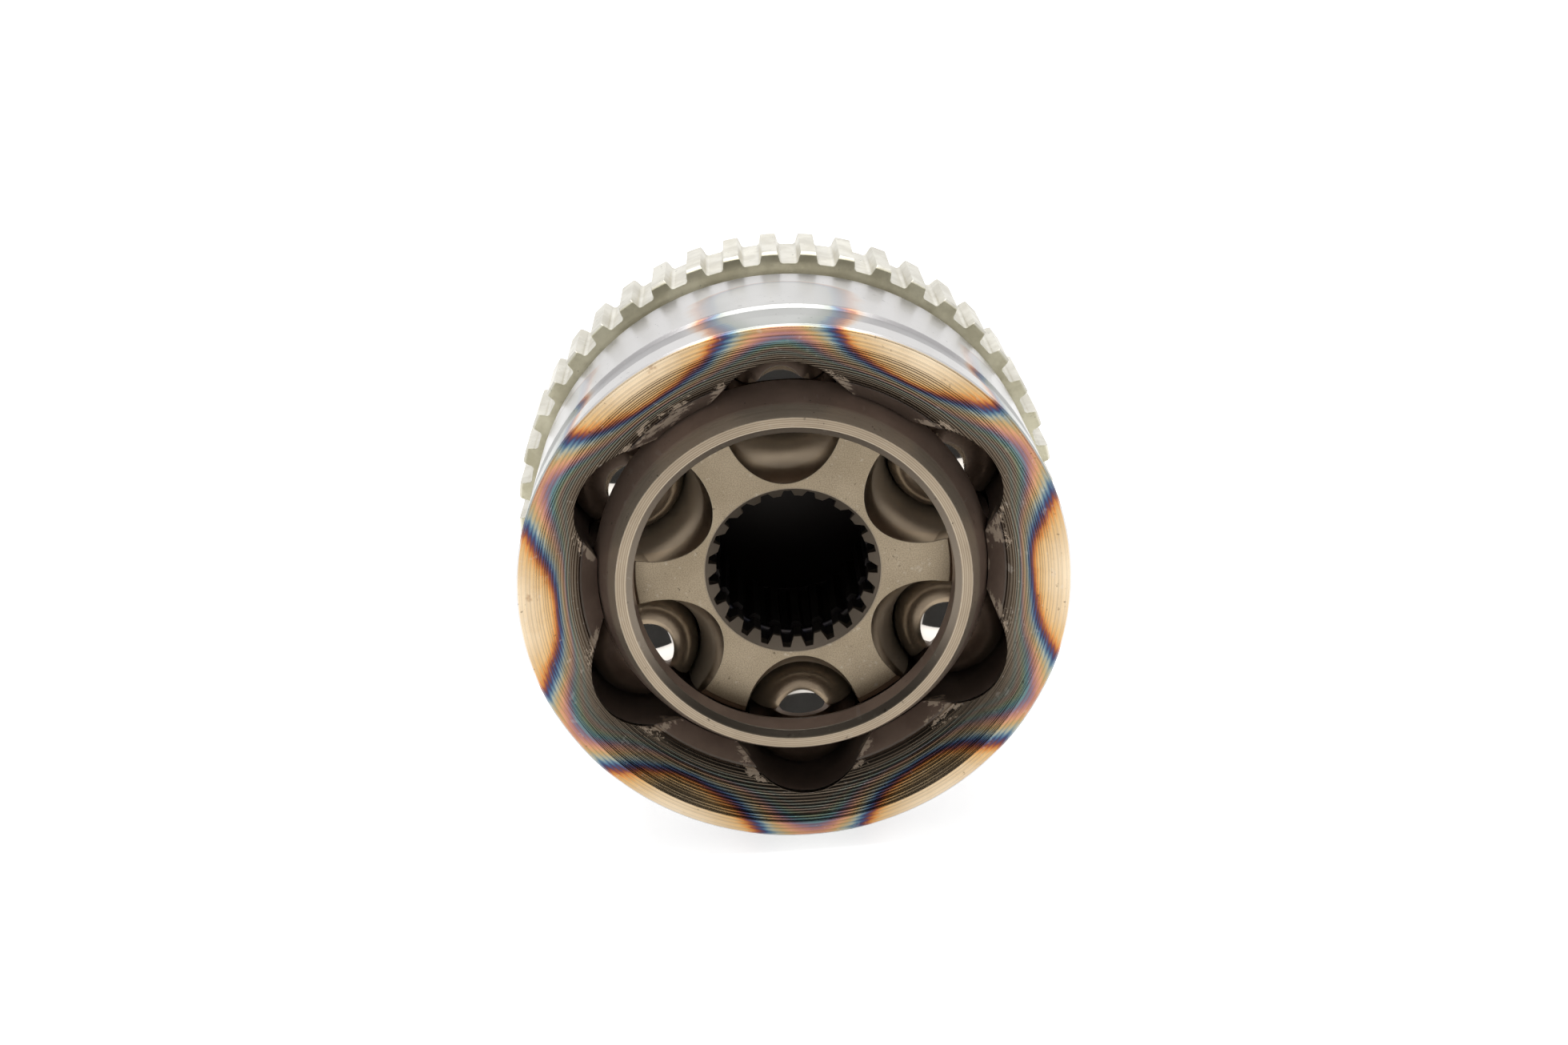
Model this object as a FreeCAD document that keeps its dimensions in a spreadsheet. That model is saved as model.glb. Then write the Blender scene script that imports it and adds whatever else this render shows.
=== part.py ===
"""Fixed ball-type constant-velocity joint: outer race with its stub shaft, sensor ring, cage, inner race, six balls.

The origin is the joint centre, where the driveshaft's axis crosses the stub shaft's axis at every angle.
+Y runs along the stub shaft, so the bell's mouth faces -Y. +Z is up. Millimetres.
"""

import FreeCAD, Part
import math
import os
import re

import Sketcher

from FreeCAD import Vector

SIZES = {
    # how far a cut between teeth runs past the face it starts from
    "overcut": 0.2,
    # balls and the two offset track circles they roll in
    "ball_radius": 8.73125,
    "ball_circle": 27.9,
    "ball_count": 6,
    "track_offset": 2.8,
    "track_radius": 8.93,
    "outer_track_front": 50,
    "outer_track_back": 47,
    "inner_track_sweep": 62,
    "seat_angle": 28,
    "outer_flare": 2.7,
    "outer_flare_drop": 3.9,
    "inner_flare": 1.5,
    "inner_flare_drop": 3.3,
    "clear_depth": 9,
    # bell of the outer race
    "rim_radius": 40.5,
    "rim_depth": 18.8,
    "edge_break": 0.4,
    "lip_length": 5.2,
    "boot_groove_length": 6.1,
    "boot_groove_radius": 40.15,
    "boot_groove_flank": 1.0,
    "barrel_length": 29.85,
    "barrel_chamfer": 0.5,
    "collar_radius": 39.3,
    "mouth_radius": 38.05,
    "mouth_step_radius": 31.8,
    "mouth_step_depth": 4.6,
    "throat": 11.2,
    "race_sphere": 31.3,
    "cavity_floor": 25.5,
    # stub shaft of the outer race
    "shoulder_place": 33,
    "shoulder_radius": 24,
    "journal_radius": 15,
    "journal_length": 5,
    "relief_radius": 11.7,
    "relief_length": 2,
    "hub_spline_radius": 13,
    "hub_spline_root": 12,
    "hub_spline_length": 36,
    "hub_spline_count": 25,
    "hub_space_share_at_root": 0.385,
    "hub_space_share_at_tip": 0.625,
    "stud_radius": 10.51,
    "stud_length": 22,
    "stud_chamfer": 1.2,
    "centre_drill": 3,
    # toothed sensor ring
    "ring_depth": 32.2,
    "ring_width": 13.6,
    "ring_bore": 38,
    "ring_root": 41.4,
    "ring_tip": 43.2,
    "ring_chamfer": 0.45,
    "ring_teeth": 45,
    "tooth_tip_width": 2.3,
    "tooth_root_width": 3.15,
    "tooth_fillet": 0.6,
    # cage
    "cage_sphere": 31.05,
    "cage_bore": 26.7,
    "cage_front": 16.5,
    "cage_front_radius": 26.3,
    "cage_cone": 14.0,
    "cage_opening": 23.75,
    "cage_chamfer": 1.05,
    "cage_chamfer_depth": 0.8,
    "cage_back": 15.2,
    "cage_back_opening": 22.0,
    "window_height": 18.3,
    "window_length": 22,
    "window_corner": 4,
    # inner race
    "hub_sphere": 26.45,
    "hub_front": 10.2,
    "hub_back": 12.0,
    "hub_bevel_radius": 23.6,
    "hub_bevel": 9.7,
    "bore_mouth": 13.2,
    "spline_minor": 11.5,
    "spline_major": 12.75,
    "spline_count": 23,
    "space_width_at_minor": 1.95,
    "space_width_at_major": 1.1,
    # circlip that holds the driveshaft in the inner race
    "clip_place": 4.0,
    "clip_groove_radius": 14.0,
    "clip_groove_width": 2.0,
    "clip_radius": 13.0,
    "clip_wire": 0.9,
    "clip_sweep": 338,
}

document = FreeCAD.newDocument("CvJoint")
sheet = document.addObject("Spreadsheet::Sheet", "Sizes")
for row, (alias, number) in enumerate(SIZES.items(), start=1):
    sheet.set(f"A{row}", alias)
    sheet.set(f"B{row}", str(number))
    sheet.setAlias(f"B{row}", alias)
document.recompute()


def formula(text):
    """Put the sheet's name before every alias in text, as FreeCAD's expressions need."""
    return re.sub(r"[a-z_]+", lambda word: f"Sizes.{word[0]}" if word[0] in SIZES else word[0], text)


def size(text):
    """The value of a formula of the sheet's aliases."""
    return float(sheet.evalExpression(formula(text)))


def origin_feature(body, role):
    return next(feature for feature in body.Origin.OriginFeatures if feature.Role == role)


def new_body(label):
    body = document.addObject("PartDesign::Body", label)
    body.Label = label
    return body


def new_sketch(body, name, role, offset="0"):
    """A sketch on one of the body's origin planes, moved along the plane's normal by the offset formula."""
    sketch = body.newObject("Sketcher::SketchObject", name)
    sketch.AttachmentSupport = (origin_feature(body, role), [""])
    sketch.MapMode = "FlatFace"
    sketch.setExpression("AttachmentOffset.Base.z", formula(offset))
    document.recompute()
    return sketch


def pin_point(sketch, side, end, across, up):
    """Tie one end of a side to formulas for its distances from the sketch's origin."""
    for kind, text, axis in (("DistanceX", across, -2), ("DistanceY", up, -1)):
        if text == "0":
            sketch.addConstraint(Sketcher.Constraint("PointOnObject", side, end, axis))
            continue
        place = sketch.addConstraint(Sketcher.Constraint(kind, -1, 1, side, end, size(text)))
        sketch.renameConstraint(place, f"{kind}_{side}")
        sketch.setExpression(f"Constraints.{kind}_{side}", formula(text))


def outline(sketch, corners, arcs=None):
    """Draw a closed outline through corners, each a pair of formulas (across, up).

    arcs gives the sides that are round: side number -> (radius formula, 1 or -1), where 1 bulges to the left
    of the way along the outline and -1 to the right.
    """
    arcs = arcs or {}
    points = [Vector(size(across), size(up), 0) for across, up in corners]
    ends = []
    for side, start in enumerate(points):
        end = points[(side + 1) % len(points)]
        if side not in arcs:
            sketch.addGeometry(Part.LineSegment(start, end))
            ends.append((1, 2))
            continue
        radius_text, bulge = arcs[side]
        chord = end - start
        radius = size(radius_text)
        rise = radius - math.sqrt(radius**2 - chord.Length**2 / 4)
        left = Vector(-chord.y, chord.x, 0).normalize()
        middle = (start + end) / 2 + left * bulge * rise
        if bulge < 0:
            sketch.addGeometry(Part.Arc(start, middle, end))
            ends.append((1, 2))
        else:
            sketch.addGeometry(Part.Arc(end, middle, start))
            ends.append((2, 1))
    for side in range(len(corners)):
        following = (side + 1) % len(corners)
        sketch.addConstraint(Sketcher.Constraint("Coincident", side, ends[side][1], following, ends[following][0]))
    for side, (across, up) in enumerate(corners):
        pin_point(sketch, side, ends[side][0], across, up)
    for side, (radius_text, _) in arcs.items():
        place = sketch.addConstraint(Sketcher.Constraint("Radius", side, size(radius_text)))
        sketch.renameConstraint(place, f"Radius_{side}")
        sketch.setExpression(f"Constraints.Radius_{side}", formula(radius_text))


def turn(body, name, corners, arcs=None):
    """Revolve an outline, given as (radius, place along the axis), about the joint's axis."""
    sketch = new_sketch(body, f"{name}Outline", "XY_Plane")
    outline(sketch, corners, arcs)
    turned = body.newObject("PartDesign::Revolution", name)
    turned.Profile = sketch
    turned.ReferenceAxis = (sketch, ["V_Axis"])
    turned.Angle = 360
    document.recompute()
    return turned


def repeat(body, name, feature, count):
    """Repeat a cut evenly round the joint's axis, and make the pattern the body's last feature."""
    before = feature.Shape.Volume
    pattern = body.newObject("PartDesign::PolarPattern", name)
    pattern.Originals = [feature]
    pattern.Axis = (origin_feature(body, "Y_Axis"), [""])
    pattern.Angle = 360
    pattern.setExpression("Occurrences", formula(count))
    body.Tip = pattern
    document.recompute()
    if pattern.Shape.Volume >= before:
        raise RuntimeError(f"{body.Label}: {name} cuts nothing")


def cut_tracks(body, centre, front, back, seat, flare, drop):
    """Cut the six ball tracks: a section swept in an arc about a point on the axis, then repeated.

    The section is a round seat that ends seat_angle short of its widest place on each side, and opens from
    there in a flat flare. centre places the arc's centre along the axis; front and back say how far the arc
    runs towards the mouth and towards the stub shaft, in degrees; seat is 1 where the seat faces the axis,
    as in the outer race, and -1 where it faces away from it.
    """
    before = body.Tip.Shape.Volume
    sketch = new_sketch(body, "TrackSection", "XZ_Plane", f"-1 * ({centre})")
    path = "sqrt(ball_circle^2 + track_offset^2)"
    seat_edge = "track_radius * cos(seat_angle)"
    seat_height = f"{path} + {seat} * track_radius * sin(seat_angle)"
    flare_edge = f"{seat_edge} + {flare}"
    flare_height = f"{seat_height} - {seat} * {drop}"
    open_height = f"{flare_height} - {seat} * clear_depth"
    corners = [
        (seat_edge, seat_height),
        (f"-1 * {seat_edge}", seat_height),
        (f"-1 * ({flare_edge})", flare_height),
        (f"-1 * ({flare_edge})", open_height),
        (flare_edge, open_height),
        (flare_edge, flare_height),
    ]
    outline(sketch, corners, {0: ("track_radius", -seat)})
    groove = body.newObject("PartDesign::Groove", "Track")
    groove.Profile = sketch
    groove.ReferenceAxis = (sketch, ["H_Axis"])
    groove.Type = "TwoAngles"
    groove.setExpression("Angle", formula(front))
    groove.setExpression("Angle2", formula(back))
    document.recompute()
    if groove.Shape.Volume >= before:
        raise RuntimeError(f"{body.Label}: the track cuts nothing")
    repeat(body, "Tracks", groove, "ball_count")


def cut_between_teeth(body, name, corners, arcs, count, start=None, length=None):
    """Cut the gap between two teeth along the axis and repeat it; with no start it runs right through."""
    before = body.Tip.Shape.Volume
    sketch = new_sketch(body, f"{name}Outline", "XZ_Plane", f"-1 * ({start})" if start else "0")
    outline(sketch, corners, arcs)
    gap = body.newObject("PartDesign::Pocket", name)
    gap.Profile = sketch
    if start:
        gap.Type = "Length"
        gap.setExpression("Length", formula(length))
    else:
        gap.Type = "ThroughAll"
        gap.SideType = "Symmetric"
    document.recompute()
    if gap.Shape.Volume >= before:
        raise RuntimeError(f"{body.Label}: {name} cuts nothing")
    repeat(body, f"{name}Pattern", gap, count)


def wedge(inner_width, inner_radius, outer_width, outer_radius):
    """Corners of a gap between teeth that stands on the sketch's vertical axis."""
    return [
        (f"({inner_width}) / 2", inner_radius),
        (f"({outer_width}) / 2", outer_radius),
        (f"-1 * ({outer_width}) / 2", outer_radius),
        (f"-1 * ({inner_width}) / 2", inner_radius),
    ]


def make_outer_race():
    """The bell with its six tracks and the stub shaft, one forging."""
    body = new_body("outer_race")
    lip_end = "lip_length - rim_depth"
    groove_end = "lip_length + boot_groove_length - rim_depth"
    journal_end = "shoulder_place + journal_length"
    relief_end = f"{journal_end} + relief_length"
    spline_end = f"{relief_end} + hub_spline_length"
    shaft_end = f"{spline_end} + stud_length"
    corners = [
        ("rim_radius - edge_break", "-1 * rim_depth"),
        ("rim_radius", "edge_break - rim_depth"),
        ("rim_radius", lip_end),
        ("boot_groove_radius", f"{lip_end} + boot_groove_flank"),
        ("boot_groove_radius", f"{groove_end} - boot_groove_flank"),
        ("rim_radius", groove_end),
        ("rim_radius", "barrel_length - barrel_chamfer - rim_depth"),
        ("rim_radius - barrel_chamfer", "barrel_length - rim_depth"),
        ("collar_radius", "barrel_length - rim_depth"),
        ("collar_radius", "ring_depth - rim_depth"),
        ("ring_bore", "ring_depth - rim_depth"),
        ("ring_bore", "ring_depth + ring_width - rim_depth"),
        ("shoulder_radius", "shoulder_place"),
        ("journal_radius", "shoulder_place"),
        ("journal_radius", journal_end),
        ("relief_radius", journal_end),
        ("relief_radius", relief_end),
        ("hub_spline_radius - edge_break", relief_end),
        ("hub_spline_radius", f"{relief_end} + edge_break"),
        ("hub_spline_radius", f"{spline_end} - stud_chamfer"),
        ("hub_spline_root", spline_end),
        ("stud_radius", spline_end),
        ("stud_radius", f"{shaft_end} - stud_chamfer"),
        ("stud_radius - stud_chamfer", shaft_end),
        ("centre_drill", shaft_end),
        ("0", f"{shaft_end} - centre_drill * tan(60)"),
        ("0", "cavity_floor"),
        ("sqrt(race_sphere^2 - cavity_floor^2)", "cavity_floor"),
        ("sqrt(race_sphere^2 - throat^2)", "-1 * throat"),
        ("mouth_step_radius", "mouth_step_depth - rim_depth"),
        ("mouth_radius", "-1 * rim_depth"),
    ]
    cavity_side = 27
    turn(body, "Forging", corners, {cavity_side: ("race_sphere", 1)})
    cut_tracks(
        body, "-1 * track_offset", "outer_track_front", "outer_track_back", 1, "outer_flare", "outer_flare_drop"
    )
    gap_root = "hub_space_share_at_root * 2 * pi * hub_spline_root / hub_spline_count"
    gap_mouth = "hub_space_share_at_tip * 2 * pi * hub_spline_radius / hub_spline_count"
    corners = wedge(gap_root, "hub_spline_root", gap_mouth, "hub_spline_radius + overcut")
    cut_between_teeth(
        body, "HubSpline", corners, None, "hub_spline_count",
        start=f"{journal_end} + relief_length / 2", length="relief_length / 2 + hub_spline_length",
    )
    return body


def make_sensor_ring():
    """The toothed ring pressed onto the back of the bell, read by a wheel-speed sensor."""
    body = new_body("abs_ring")
    front = "ring_depth - rim_depth"
    back = "ring_depth + ring_width - rim_depth"
    corners = [
        ("ring_bore", front),
        ("ring_bore", back),
        ("ring_tip - ring_chamfer", back),
        ("ring_tip", f"{back} - ring_chamfer"),
        ("ring_tip", f"{front} + ring_chamfer"),
        ("ring_tip - ring_chamfer", front),
    ]
    turn(body, "Blank", corners)
    tip_gap = "2 * pi * ring_tip / ring_teeth - tooth_tip_width"
    root_gap = "2 * pi * ring_root / ring_teeth - tooth_root_width"
    flank_start = "ring_root + tooth_fillet"
    corners = [
        (f"({root_gap}) / 2 - tooth_fillet", "ring_root"),
        (f"({root_gap}) / 2 + tooth_fillet / 4", flank_start),
        (f"({tip_gap}) / 2", "ring_tip"),
        (f"({tip_gap}) / 2", "ring_tip + overcut"),
        (f"({tip_gap}) / -2", "ring_tip + overcut"),
        (f"({tip_gap}) / -2", "ring_tip"),
        (f"({root_gap}) / -2 - tooth_fillet / 4", flank_start),
        (f"({root_gap}) / -2 + tooth_fillet", "ring_root"),
    ]
    fillets = {0: ("tooth_fillet", -1), 6: ("tooth_fillet", -1)}
    cut_between_teeth(body, "ToothGap", corners, fillets, "ring_teeth")
    # half a tooth's turn puts a tooth at the top
    body.Placement.Rotation = FreeCAD.Rotation(Vector(0, 1, 0), 180 / size("ring_teeth"))
    return body


def make_cage():
    """The spherical cage that holds the balls in the plane halfway between the two shafts."""
    body = new_body("cage")
    corners = [
        ("cage_front_radius", "-1 * cage_front"),
        ("sqrt(cage_sphere^2 - cage_cone^2)", "-1 * cage_cone"),
        ("sqrt(cage_sphere^2 - cage_back^2)", "cage_back"),
        ("cage_back_opening", "cage_back"),
        ("cage_back_opening", "sqrt(cage_bore^2 - cage_back_opening^2)"),
        ("cage_opening", "-1 * sqrt(cage_bore^2 - cage_opening^2)"),
        ("cage_opening", "cage_chamfer_depth - cage_front"),
        ("cage_opening + cage_chamfer", "-1 * cage_front"),
    ]
    turn(body, "Shell", corners, {1: ("cage_sphere", -1), 4: ("cage_bore", 1)})
    before = body.Tip.Shape.Volume
    sketch = new_sketch(body, "WindowOutline", "XY_Plane")
    half = ("window_length / 2", "window_height / 2")
    inner = ("window_length / 2 - window_corner", "window_height / 2 - window_corner")
    corners = [
        (half[0], f"-1 * ({inner[1]})"),
        (half[0], inner[1]),
        (inner[0], half[1]),
        (f"-1 * ({inner[0]})", half[1]),
        (f"-1 * {half[0]}", inner[1]),
        (f"-1 * {half[0]}", f"-1 * ({inner[1]})"),
        (f"-1 * ({inner[0]})", f"-1 * {half[1]}"),
        (inner[0], f"-1 * {half[1]}"),
    ]
    outline(sketch, corners, {side: ("window_corner", -1) for side in (1, 3, 5, 7)})
    window = body.newObject("PartDesign::Pocket", "Window")
    window.Profile = sketch
    window.Type = "ThroughAll"
    window.Reversed = True
    document.recompute()
    if window.Shape.Volume >= before:
        raise RuntimeError("cage: the window cuts nothing")
    repeat(body, "Windows", window, "ball_count")
    return body


def make_inner_race():
    """The star-shaped hub that slides onto the driveshaft's spline."""
    body = new_body("inner_race")
    mouth_depth = "bore_mouth - spline_minor"
    clip_front = "-1 * clip_place - clip_groove_width / 2"
    clip_back = "clip_groove_width / 2 - clip_place"
    corners = [
        ("spline_minor", f"{mouth_depth} - hub_front"),
        ("bore_mouth", "-1 * hub_front"),
        ("hub_bevel_radius", "-1 * hub_front"),
        ("sqrt(hub_sphere^2 - hub_bevel^2)", "-1 * hub_bevel"),
        ("sqrt(hub_sphere^2 - hub_back^2)", "hub_back"),
        ("bore_mouth", "hub_back"),
        ("spline_minor", f"hub_back - ({mouth_depth})"),
        ("spline_minor", clip_back),
        ("clip_groove_radius", clip_back),
        ("clip_groove_radius", clip_front),
        ("spline_minor", clip_front),
    ]
    turn(body, "Star", corners, {3: ("hub_sphere", -1)})
    cut_tracks(
        body, "track_offset", "inner_track_sweep", "inner_track_sweep", -1, "inner_flare", "inner_flare_drop"
    )
    taper = "(space_width_at_minor - space_width_at_major) / (spline_major - spline_minor)"
    corners = wedge(
        f"space_width_at_minor + overcut * {taper}", "spline_minor - overcut", "space_width_at_major", "spline_major"
    )
    cut_between_teeth(body, "ShaftSpline", corners, None, "spline_count")
    return body


def make_circlip():
    """The round-wire ring, open at one point, that snaps into the driveshaft's groove."""
    body = new_body("shaft_circlip")
    sketch = new_sketch(body, "WireSection", "XY_Plane")
    sketch.addGeometry(Part.Circle(Vector(size("clip_radius"), size("-1 * clip_place"), 0), Vector(0, 0, 1), 1))
    constraints = (
        ("Across", Sketcher.Constraint("DistanceX", -1, 1, 0, 3, size("clip_radius")), "clip_radius"),
        ("Along", Sketcher.Constraint("DistanceY", -1, 1, 0, 3, size("-1 * clip_place")), "-1 * clip_place"),
        ("Wire", Sketcher.Constraint("Radius", 0, size("clip_wire")), "clip_wire"),
    )
    for name, constraint, text in constraints:
        sketch.renameConstraint(sketch.addConstraint(constraint), name)
        sketch.setExpression(f"Constraints.{name}", formula(text))
    wire = body.newObject("PartDesign::Revolution", "Wire")
    wire.Profile = sketch
    wire.ReferenceAxis = (sketch, ["V_Axis"])
    wire.setExpression("Angle", formula("clip_sweep"))
    document.recompute()
    return body


def make_ball(number):
    """One ball, on the ball circle in the joint's middle plane; ball 1 is the top one."""
    ball = document.addObject("Part::Sphere", f"ball_{number}")
    ball.Label = f"ball_{number}"
    angle = f"({number} - 1) * 360 / ball_count"
    ball.setExpression("Radius", formula("ball_radius"))
    ball.setExpression("Placement.Base.x", formula(f"ball_circle * sin({angle})"))
    ball.setExpression("Placement.Base.z", formula(f"ball_circle * cos({angle})"))
    document.recompute()
    return ball


def check_and_write(pieces):
    """Stop at any failed feature or bad solid, then write each piece to parts/."""
    failed = [item.Name for item in document.Objects if {"Invalid", "Error"} & set(item.State)]
    if failed:
        raise RuntimeError(f"failed features: {failed}")
    for piece in pieces:
        shape = piece.Shape
        if shape.isNull() or not shape.isValid() or len(shape.Solids) != 1:
            raise RuntimeError(f"{piece.Label} is not one valid solid")
    os.makedirs("parts", exist_ok=True)
    for piece in pieces:
        piece.Shape.exportStep(os.path.join("parts", f"{piece.Label}.step"))
        print(f"{piece.Label}: {piece.Shape.Volume / 1000:.2f} cm3")


balls = [make_ball(number) for number in range(1, int(SIZES["ball_count"]) + 1)]
check_and_write(
    [make_outer_race(), make_sensor_ring(), make_cage(), make_inner_race(), make_circlip(), *balls]
)
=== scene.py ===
"""The finish of a fixed-centre CV joint: steels, heat colours, plating, thread and studio.

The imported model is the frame. Every piece is in metres and in its coordinates: the
joint's axis is Y, the open mouth looks along -Y and the first ball is straight up.
The finishes work in millimetres: a radius is measured from the axis, and a depth along
it from the joint's centre, below nought towards the mouth.
"""

import math

import bmesh
import bpy
from mathutils import Matrix, Vector


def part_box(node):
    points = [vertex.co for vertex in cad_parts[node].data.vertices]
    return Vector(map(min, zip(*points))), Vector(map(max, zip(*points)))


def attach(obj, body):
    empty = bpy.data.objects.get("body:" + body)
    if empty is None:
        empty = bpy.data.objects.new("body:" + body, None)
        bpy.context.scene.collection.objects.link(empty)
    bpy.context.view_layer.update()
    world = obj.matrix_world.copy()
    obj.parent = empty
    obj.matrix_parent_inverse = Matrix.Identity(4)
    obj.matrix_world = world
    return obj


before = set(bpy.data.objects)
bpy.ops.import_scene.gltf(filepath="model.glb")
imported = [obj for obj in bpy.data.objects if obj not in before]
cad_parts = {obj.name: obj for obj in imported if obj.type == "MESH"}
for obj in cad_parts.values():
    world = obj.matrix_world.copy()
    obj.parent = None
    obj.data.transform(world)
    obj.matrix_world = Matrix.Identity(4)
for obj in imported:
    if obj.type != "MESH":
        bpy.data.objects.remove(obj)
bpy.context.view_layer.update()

bl_info = {
    "name": "CV joint finish",
    "version": (1, 0, 0),
    "blender": (4, 5, 0),
    "location": "3D View > Sidebar > CV joint",
    "description": "Gives a packed CV joint its steels, heat colours and studio",
    "category": "Material",
}

MM = 0.001
TRACKS = 6
TRACK_STEP = 2.0 * math.pi / TRACKS

bell_low, bell_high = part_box("outer_race")
ring_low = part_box("abs_ring")[0]
RIM_RADIUS = bell_high.x / MM
RIM_FACE = bell_low.y / MM
RING_FACE = ring_low.y / MM
CAGE_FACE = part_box("cage")[0].y / MM
HUB_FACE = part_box("inner_race")[0].y / MM

# Where one finish gives way to the next: each starts at the first radius or depth and is
# whole at the second.
INNER_WALL_RADIUS = (RIM_RADIUS - 1.6, RIM_RADIUS - 2.0)
CONE_RADIUS = (38.2, 37.8)
SECOND_HEAT_RADIUS = (37.6, 35.4)
HOLLOW_WALL_RADIUS = (32.5, 32.0)
CAGE_BAND_RADIUS = (25.2, 25.8)
CAGE_BEVEL_RADIUS = (25.0, 24.8)
HUB_BORE_RADIUS = (13.5, 13.1)

RIM_DEPTH = (RIM_FACE + 0.25, RIM_FACE + 0.1)
SCUFFS_FRONT_DEPTH = (-15.8, -14.4)
GROOVE_FRONT_DEPTH = (-14.0, -13.4)
MOUTH_DEPTH = (-13.6, -14.1)
SCUFFS_BACK_DEPTH = (-9.0, -10.6)
GROOVE_BACK_DEPTH = (-7.2, -7.8)
ARCHES_DEPTH = (-6.5, -8.0)
# Painted shade: the bell's hollow is painted darker from the first depth to the second.
HOLLOW_PAINTED_SHADE_DEPTH = (4.0, 14.0)
HOLLOW_FLOOR_DEPTH = (26.2, 25.8)
TAIL_DEPTH = (RING_FACE + 0.2, RING_FACE + 0.4)
RING_FACE_DEPTH = (RING_FACE + 0.25, RING_FACE + 0.05)
CAGE_FACE_DEPTH = (CAGE_FACE + 0.12, CAGE_FACE + 0.04)
CAGE_BEVEL_DEPTH = (CAGE_FACE + 0.95, CAGE_FACE + 0.8)
CAGE_BAND_DEPTH = (CAGE_FACE + 2.7, CAGE_FACE + 1.6)
HUB_FACE_DEPTH = (HUB_FACE + 0.12, HUB_FACE + 0.04)
TOOTH_ENDS_DEPTH = (HUB_FACE + 2.4, HUB_FACE + 1.9)


# ---------------------------------------------------------------- colours


def display(red, green, blue):
    """A colour written as a screen shows it, 0 to 255, as the linear values nodes use."""
    linear = []
    for level in (red, green, blue):
        part = level / 255.0
        low = part / 12.92
        high = ((part + 0.055) / 1.055) ** 2.4
        linear.append(low if part <= 0.04045 else high)
    return (*linear, 1.0)


# Colours of the film that heat leaves on steel, from cold to hottest, and the heats that
# they reach over.
HEAT_SPAN = (0.25, 1.0)
HEAT_STOPS = [
    (0.01, display(226, 208, 180)),
    (0.08, display(206, 179, 141)),
    (0.115, display(206, 168, 116)),
    (0.137, display(200, 134, 72)),
    (0.152, display(148, 82, 58)),
    (0.166, display(94, 64, 78)),
    (0.182, display(62, 74, 110)),
    (0.20, display(92, 120, 138)),
    (0.22, display(152, 156, 142)),
    (0.248, display(178, 150, 104)),
    (0.273, display(194, 142, 108)),
    (0.30, display(164, 116, 110)),
    (0.32, display(120, 106, 122)),
    (0.345, display(88, 122, 126)),
    (0.375, display(116, 126, 102)),
    (0.405, display(130, 106, 94)),
    (0.435, display(102, 110, 102)),
    (0.48, display(110, 98, 84)),
    (0.62, display(94, 84, 72)),
    (1.00, display(72, 63, 55)),
]

# Second tones of the steels and the plating, with the painted shade of grooves, lines, hollow
# and bore; the main ones are in JointColours.
SECOND_HEAT = display(104, 98, 86)
HEAT_STAIN = display(140, 98, 62)
PAINTED_LINE_SHADE_AND_TONE = display(52, 45, 40)
BOOT_GROOVE_PAINTED_SHADE = display(92, 88, 92)
HARDENED_WARM = display(118, 102, 91)
HOLLOW_PAINTED_SHADE = display(40, 33, 30)
TAIL_DULL = display(150, 146, 140)
TAIL_BRIGHT = display(178, 174, 168)
ZINC_DULL = display(206, 202, 190)
RING_FACE_PALE = display(214, 209, 184)
RING_FACE_DULL = display(186, 180, 154)
CAGE_FACE_PAINTED_LINE_SHADE = display(148, 133, 113)
CAGE_SATIN_WARM = display(138, 118, 105)
CAGE_BAND = display(182, 168, 150)
CAGE_BEVEL = display(118, 108, 96)
HUB_FACE_PALE = display(160, 146, 124)
HUB_FACE_GRAIN = display(108, 95, 78)
HUB_GROOVE_PALE = display(178, 164, 144)
HUB_GROOVE_DULL = display(162, 147, 128)
BORE_OIL_AND_PAINTED_SHADE = display(30, 25, 23)
BORE_THIN_OIL_AND_PAINTED_SHADE = display(40, 35, 32)
SPLINE_ENDS = display(128, 117, 104)
BALL_HAZE = display(196, 188, 178)
THREAD_FLANK = display(148, 142, 134)
THREAD_OILY = display(112, 104, 94)
THREAD_CREST = display(196, 192, 186)
SPRING_BLUE = display(62, 64, 76)
SPRING_BROWN = display(92, 86, 84)

# Edges that are worn and carry a painted highlight, scratches and pits on each piece.
BELL_EDGE_WEAR_AND_HIGHLIGHT = display(196, 186, 172)
BELL_SCRATCH = display(210, 204, 196)
BELL_PIT = display(40, 34, 30)
RING_EDGE_WEAR_AND_HIGHLIGHT = display(222, 222, 212)
RING_PIT = display(84, 82, 72)
CAGE_EDGE_WEAR_AND_HIGHLIGHT = display(196, 188, 172)
CAGE_SCRATCH = display(180, 172, 160)
CAGE_PIT = display(58, 50, 44)
HUB_EDGE_WEAR_AND_HIGHLIGHT = display(196, 184, 164)
HUB_SCRATCH = display(186, 178, 164)
HUB_PIT = display(62, 54, 46)
THREAD_PIT = display(66, 60, 54)
SPRING_EDGE_WEAR_AND_HIGHLIGHT = display(150, 146, 140)

# The studio: linear colours and strengths, and places and sizes in metres.
WHITE = (1.0, 1.0, 1.0, 1.0)
FLOOR_GREY = (0.68, 0.68, 0.68, 1.0)
FLOOR_GLOW = 0.62
CARD_BLACK = (0.02, 0.02, 0.02, 1.0)
WORLD_LIGHT = 0.8
LAMP_PLACE = (0.0, 0.15, 0.7)
CARD_PLACE = (0.0, -0.62, 0.45)
CARD_SIZE = (2.4, 0.9)


# ---------------------------------------------------------------- helpers


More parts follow.
